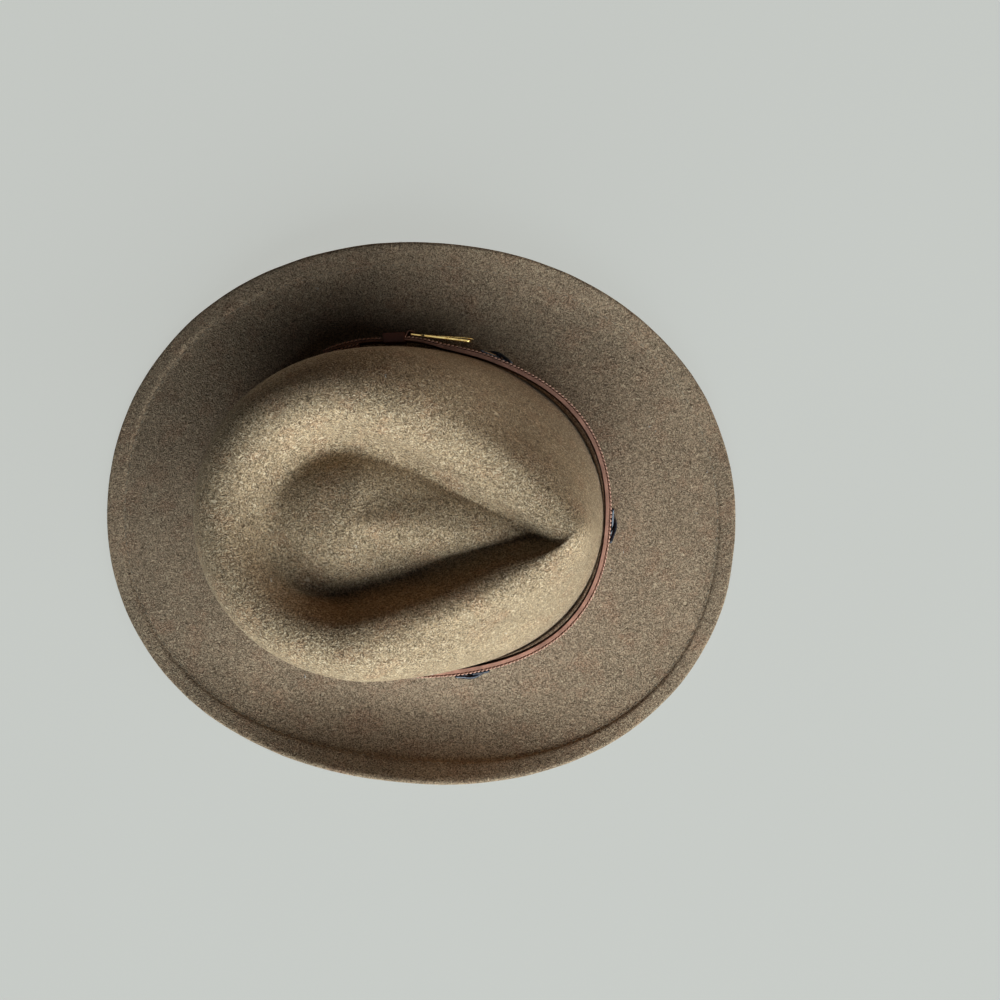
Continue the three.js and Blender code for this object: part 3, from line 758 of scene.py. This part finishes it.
class FEDORA_OT_brim_stitches(bpy.types.Operator):
    """Stitches that hold the doubled edge of the brim"""

    bl_idname = "fedora.brim_stitches"
    bl_label = "Brim stitches"

    def execute(self, context):
        """Lays stitches on the felt, a little way in from its edge."""
        settings = context.scene.fedora_felt
        felt = bpy.data.objects["felt"]
        line = inside_of(outline_of(felt), settings.stitch_inset)
        path = [plumbed(felt, x, y)[0] for x, y in line]
        places = []
        for point, direction in even_places(path, settings.stitch_pitch, looped=True):
            spot, normal = plumbed(felt, point.x, point.y)
            places.append((0, lying(spot + normal * BRIM_THREAD_LIFT, direction, normal)))
        model = stitch_model(settings.stitch_pitch * BRIM_STITCH_SHARE, BRIM_THREAD)
        stitches = joined_copies("brim_stitches", [model], places)
        thread = thread_material("brim_thread", settings.thread_colour)
        put_in_place(stitches, "felt", [], thread)
        return {"FINISHED"}


class FEDORA_OT_loose_hairs(bpy.types.Operator):
    """Loose hairs that stand off the felt"""

    bl_idname = "fedora.loose_hairs"
    bl_label = "Loose hairs"

    def execute(self, context):
        """Scatters curled hairs evenly over the felt."""
        settings = context.scene.fedora_felt
        models = [hair_model(*bend, HAIR_LENGTH, HAIR_RADIUS) for bend in HAIR_BENDS]
        places = scattered(settings.loose_hairs, HAIR_SEED, len(models), HAIR_SIZES)
        hairs = joined_copies("loose_hairs", models, places)
        put_in_place(hairs, "felt", [], loose_hair_material(settings))
        return {"FINISHED"}


class FEDORA_OT_lint(bpy.types.Operator):
    """A few pale bits of lint on the felt"""

    bl_idname = "fedora.lint"
    bl_label = "Lint"

    def execute(self, context):
        """Scatters the lint."""
        settings = context.scene.fedora_felt
        models = [hair_model(*bend, LINT_LENGTH, LINT_RADIUS) for bend in LINT_BENDS]
        places = scattered(settings.lint_count, LINT_SEED, len(models), LINT_SIZES)
        lint = joined_copies("lint", models, places)
        put_in_place(lint, "felt", [], thread_material("pale_lint", LINT))
        return {"FINISHED"}


class FEDORA_OT_band(bpy.types.Operator):
    """Leather band of two layers, stitched along its upper edge"""

    bl_idname = "fedora.band"
    bl_label = "Leather band"

    def execute(self, context):
        """Splits the band's solid into a lining and a facing, and stitches them."""
        settings = context.scene.fedora_leather
        face = leather_material(
            "brown_leather", settings.face_colour, FACE_PORES, roughness=0.5, contrast=0.3
        )
        edge = leather_material(
            "cut_leather", settings.edge_colour, EDGE_PORES, roughness=0.8, contrast=0.22
        )
        lining = merged_copy("hatband", "band_lining", LEATHER_FOLD)
        facing = self.outer_faces_of(lining)
        line = upper_line(facing)
        apply_modifier(facing, "SOLIDIFY", thickness=settings.facing, offset=-1)
        select_outer_faces(lining)
        bpy.ops.transform.shrink_fatten(value=-(settings.facing + settings.seam))
        bpy.ops.object.mode_set(mode="OBJECT")
        round_edges(lining, LINING_ROUND)
        round_edges(facing, FACING_ROUND)
        paint_cut_edges(lining, face, edge)
        put_in_place(lining, "leather", ["hatband"])
        put_in_place(facing, "leather", ["hatband"], face)
        model = stitch_model(settings.stitch_pitch * BAND_STITCH_SHARE, BAND_THREAD)
        stitches = joined_copies("band_stitches", [model], self.stitch_places(line, settings))
        thread = thread_material("band_thread", settings.thread_colour)
        put_in_place(stitches, "leather", [], thread)
        return {"FINISHED"}

    def outer_faces_of(self, lining):
        """A piece of its own, made of the band's outer faces."""
        select_outer_faces(lining)
        bpy.ops.mesh.duplicate()
        bpy.ops.mesh.separate(type="SELECTED")
        bpy.ops.object.mode_set(mode="OBJECT")
        facing = next(o for o in bpy.context.selected_objects if o is not lining)
        facing.name = facing.data.name = "band_facing"
        return facing

    def stitch_places(self, line, settings):
        """Slanted stitches along the outer corner of the band's upper edge."""
        for point, direction in even_places(line, settings.stitch_pitch, looped=False):
            out = (radial(point) + UP).normalized()
            slanted = Matrix.Rotation(settings.stitch_slant, 3, out) @ direction
            yield 0, lying(point - out * BAND_THREAD_SINK, slanted, out)


class FEDORA_OT_keeper(bpy.types.Operator):
    """Leather keeper and the tab that holds the buckle"""

    bl_idname = "fedora.keeper"
    bl_label = "Keeper and tab"

    def execute(self, context):
        """Rounds the edges of the keeper and of the tab."""
        settings = context.scene.fedora_leather
        face = bpy.data.materials["brown_leather"]
        keeper = merged_copy("keeper_loop", "keeper", LEATHER_FOLD)
        round_edges(keeper, KEEPER_ROUND)
        put_in_place(keeper, "leather", ["keeper_loop"], face)
        tab = merged_copy("buckle_tab", "hooked_tab", LEATHER_FOLD)
        round_edges(tab, TAB_ROUND)
        edge = leather_material(
            "tab_edge", settings.edge_colour, EDGE_PORES, roughness=0.75, contrast=0.22
        )
        paint_cut_edges(tab, face, edge)
        put_in_place(tab, "leather", ["buckle_tab"])
        return {"FINISHED"}


class FEDORA_OT_buckle(bpy.types.Operator):
    """Brass frame and prong of the buckle"""

    bl_idname = "fedora.buckle"
    bl_label = "Brass buckle"

    def execute(self, context):
        """Rounds the brass, as cast and polished metal is, and turns its foot off the band."""
        brass = brass_material()
        turn = self.turn_off_band(context.scene.fedora_leather.buckle_lean)
        for node, name, width in (
            ("buckle_frame", "brass_frame", FRAME_ROUND),
            ("buckle_prong", "brass_prong", PRONG_ROUND),
        ):
            piece = merged_copy(node, name, BRASS_FOLD)
            round_edges(piece, width)
            piece.data.transform(turn)
            put_in_place(piece, "brass", [node], brass)
        return {"FINISHED"}

    def turn_off_band(self, lean):
        """A turn about the buckle's upper edge."""
        corners = [vertex.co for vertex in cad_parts["buckle_frame"].data.vertices]
        top = max(corners, key=lambda corner: corner.z)
        hinge = radial(top).cross(UP)
        rotation = Matrix.Rotation(lean, 4, hinge)
        return Matrix.Translation(top) @ rotation @ Matrix.Translation(-top)


class FEDORA_OT_laces(bpy.types.Operator):
    """Dark lace crossed over the band in five places"""

    bl_idname = "fedora.laces"
    bl_label = "Crossed laces"

    def execute(self, context):
        """Joins the two strands of each crossing."""
        settings = context.scene.fedora_leather
        lace = lace_material(settings.lace_colour)
        for number in range(1, LACES + 1):
            nodes = [f"lace_{number}_under", f"lace_{number}_over"]
            strands = [self.strand(node, settings.lace_swell) for node in nodes]
            select_only(strands[0])
            strands[1].select_set(True)
            bpy.ops.object.join()
            crossing = context.object
            crossing.name = crossing.data.name = f"lace_crossing_{number}"
            bpy.ops.object.shade_smooth()
            put_in_place(crossing, "lace", nodes, lace)
        return {"FINISHED"}

    def strand(self, node, swell):
        """One strand, filled out and rounded."""
        strand = merged_copy(node, node + "_strand", LACE_FOLD)
        bpy.ops.object.mode_set(mode="EDIT")
        bpy.ops.mesh.select_all(action="SELECT")
        bpy.ops.transform.shrink_fatten(value=swell)
        bpy.ops.object.mode_set(mode="OBJECT")
        subdivide(strand)
        return strand


class FEDORA_OT_stage(bpy.types.Operator):
    """Plain floor, soft light and camera"""

    bl_idname = "fedora.stage"
    bl_label = "Stage"

    def execute(self, context):
        """Sets the hat on a pale floor under a wide low light, seen from above."""
        settings = context.scene.fedora_stage
        floor = self.lay_floor(settings)
        backdrop = self.hang_backdrop(settings)
        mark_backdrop(floor, backdrop)
        self.set_lights(settings)
        self.set_room(context.scene, settings)
        self.set_camera(context.scene)
        return {"FINISHED"}

    def glowing_material(self, name, roughness, settings, strength):
        """A dull material with a light of its own."""
        material, tree, shader, place = new_material(name, roughness)
        shader.inputs["Specular IOR Level"].default_value = 0
        shader.inputs["Emission Color"].default_value = solid(settings.glow_colour)
        shader.inputs["Emission Strength"].default_value = strength
        return material, tree, shader, place

    def lay_floor(self, settings):
        """A wide floor, hardly uneven in tone."""
        bpy.ops.object.select_all(action="DESELECT")
        bpy.ops.mesh.primitive_plane_add(size=FLOOR_SIZE, location=(0, 0, -FLOOR_DROP))
        floor = bpy.context.object
        floor.name = "floor"
        bpy.ops.object.transform_apply(location=True)
        material, tree, shader, place = self.glowing_material(
            "pale_floor", 0.9, settings, settings.floor_glow
        )
        clouds = noise(tree, place, FLOOR_CLOUDS, detail=3.0)
        tone = ranged(tree, clouds, NOISE_LOW, NOISE_HIGH)
        colour = settings.floor_colour
        ground = blended(tree, tone, solid([c * 0.97 for c in colour]), solid(colour))
        tree.links.new(ground, shader.inputs["Base Color"])
        floor.data.materials.append(material)
        return floor

    def hang_backdrop(self, settings):
        """A pale dome far off that shows behind the hat and sheds no light on it."""
        bpy.ops.mesh.primitive_uv_sphere_add(segments=48, ring_count=24, radius=BACKDROP_RADIUS)
        backdrop = bpy.context.object
        backdrop.name = "backdrop"
        backdrop.visible_diffuse = False
        backdrop.visible_glossy = False
        backdrop.visible_transmission = False
        backdrop.visible_shadow = False
        material, _, shader, _ = self.glowing_material(
            "pale_backdrop", 1.0, settings, settings.backdrop_glow
        )
        shader.inputs["Base Color"].default_value = (0, 0, 0, 1)
        backdrop.data.materials.append(material)
        return backdrop

    def set_lights(self, settings):
        """A wide low window, a faint warm light across from it, and a card for the brass."""
        self.add_light("window_light", *WINDOW, settings.key_power, settings.lamp_colour)
        bpy.ops.object.light_add(type="SUN", location=BOUNCE_PLACE)
        bounce = bpy.context.object
        bounce.name = "warm_bounce"
        bounce.rotation_euler = (0, BOUNCE_TILT, BOUNCE_TURN)
        bounce.data.energy = settings.bounce_strength
        bounce.data.angle = BOUNCE_WIDTH
        bounce.data.color = settings.bounce_colour
        card = self.add_light("mirrored_card", *CARD, settings.card_power, settings.lamp_colour)
        card.visible_diffuse = False

    def add_light(self, name, location, size, power, colour):
        """A soft rectangular light that looks at the hat."""
        bpy.ops.object.light_add(type="AREA", location=location)
        light = bpy.context.object
        light.name = name
        towards = LIT_POINT - Vector(location)
        light.rotation_euler = towards.to_track_quat("-Z", "Y").to_euler()
        light.data.shape = "RECTANGLE"
        light.data.size, light.data.size_y = size
        light.data.energy = power
        light.data.color = colour
        return light

    def set_room(self, scene, settings):
        """The faint light from all round, and how bright and deep the picture is."""
        scene.world = bpy.data.worlds.new("soft_room")
        scene.world.use_nodes = True
        background = scene.world.node_tree.nodes["Background"]
        background.inputs["Color"].default_value = solid(settings.room_colour)
        background.inputs["Strength"].default_value = settings.room_strength
        scene.view_settings.view_transform = "Standard"
        scene.view_settings.gamma = GAMMA

    def set_camera(self, scene):
        """A camera that looks straight down."""
        bpy.ops.object.camera_add(location=CAMERA_PLACE)
        camera = bpy.context.object
        camera.rotation_euler = (0, 0, CAMERA_TURN)
        camera.data.lens = LENS_MM
        camera.data.sensor_width = SENSOR_MM
        camera.data.clip_start = NEAREST
        scene.camera = camera


class FEDORA_PT_panel(bpy.types.Panel):
    """Lists the fedora's pieces and settings"""

    bl_label = "Fedora"
    bl_idname = "FEDORA_PT_panel"
    bl_space_type = "VIEW_3D"
    bl_region_type = "UI"
    bl_category = "Fedora"

    def draw(self, context):
        """One button for each piece, then the settings."""
        for operator in OPERATORS:
            self.layout.operator(operator.bl_idname)
        for name, group in SETTINGS.items():
            settings = getattr(context.scene, name)
            for key in group.__annotations__:
                self.layout.prop(settings, key)


SETTINGS = {
    "fedora_felt": FeltSettings,
    "fedora_leather": LeatherSettings,
    "fedora_stage": StageSettings,
}
OPERATORS = [
    FEDORA_OT_felt,
    FEDORA_OT_brim_stitches,
    FEDORA_OT_loose_hairs,
    FEDORA_OT_lint,
    FEDORA_OT_band,
    FEDORA_OT_keeper,
    FEDORA_OT_buckle,
    FEDORA_OT_laces,
    FEDORA_OT_stage,
]
CLASSES = [*SETTINGS.values(), *OPERATORS, FEDORA_PT_panel]


def register():
    """Adds the classes and the scene's settings."""
    for entry in CLASSES:
        bpy.utils.register_class(entry)
    for name, group in SETTINGS.items():
        setattr(bpy.types.Scene, name, PointerProperty(type=group))


def unregister():
    """Takes away what register added."""
    for name in SETTINGS:
        delattr(bpy.types.Scene, name)
    for entry in reversed(CLASSES):
        bpy.utils.unregister_class(entry)


def main():
    """Builds every piece and the stage."""
    register()
    bpy.ops.fedora.felt()
    bpy.ops.fedora.brim_stitches()
    bpy.ops.fedora.loose_hairs()
    bpy.ops.fedora.lint()
    bpy.ops.fedora.band()
    bpy.ops.fedora.keeper()
    bpy.ops.fedora.buckle()
    bpy.ops.fedora.laces()
    bpy.ops.fedora.stage()
    boxes = {"cad": cad_box, "visual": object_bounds()}
    sizes = {name: [list(corner) for corner in box] for name, box in boxes.items()}


if __name__ == "__main__":
    main()
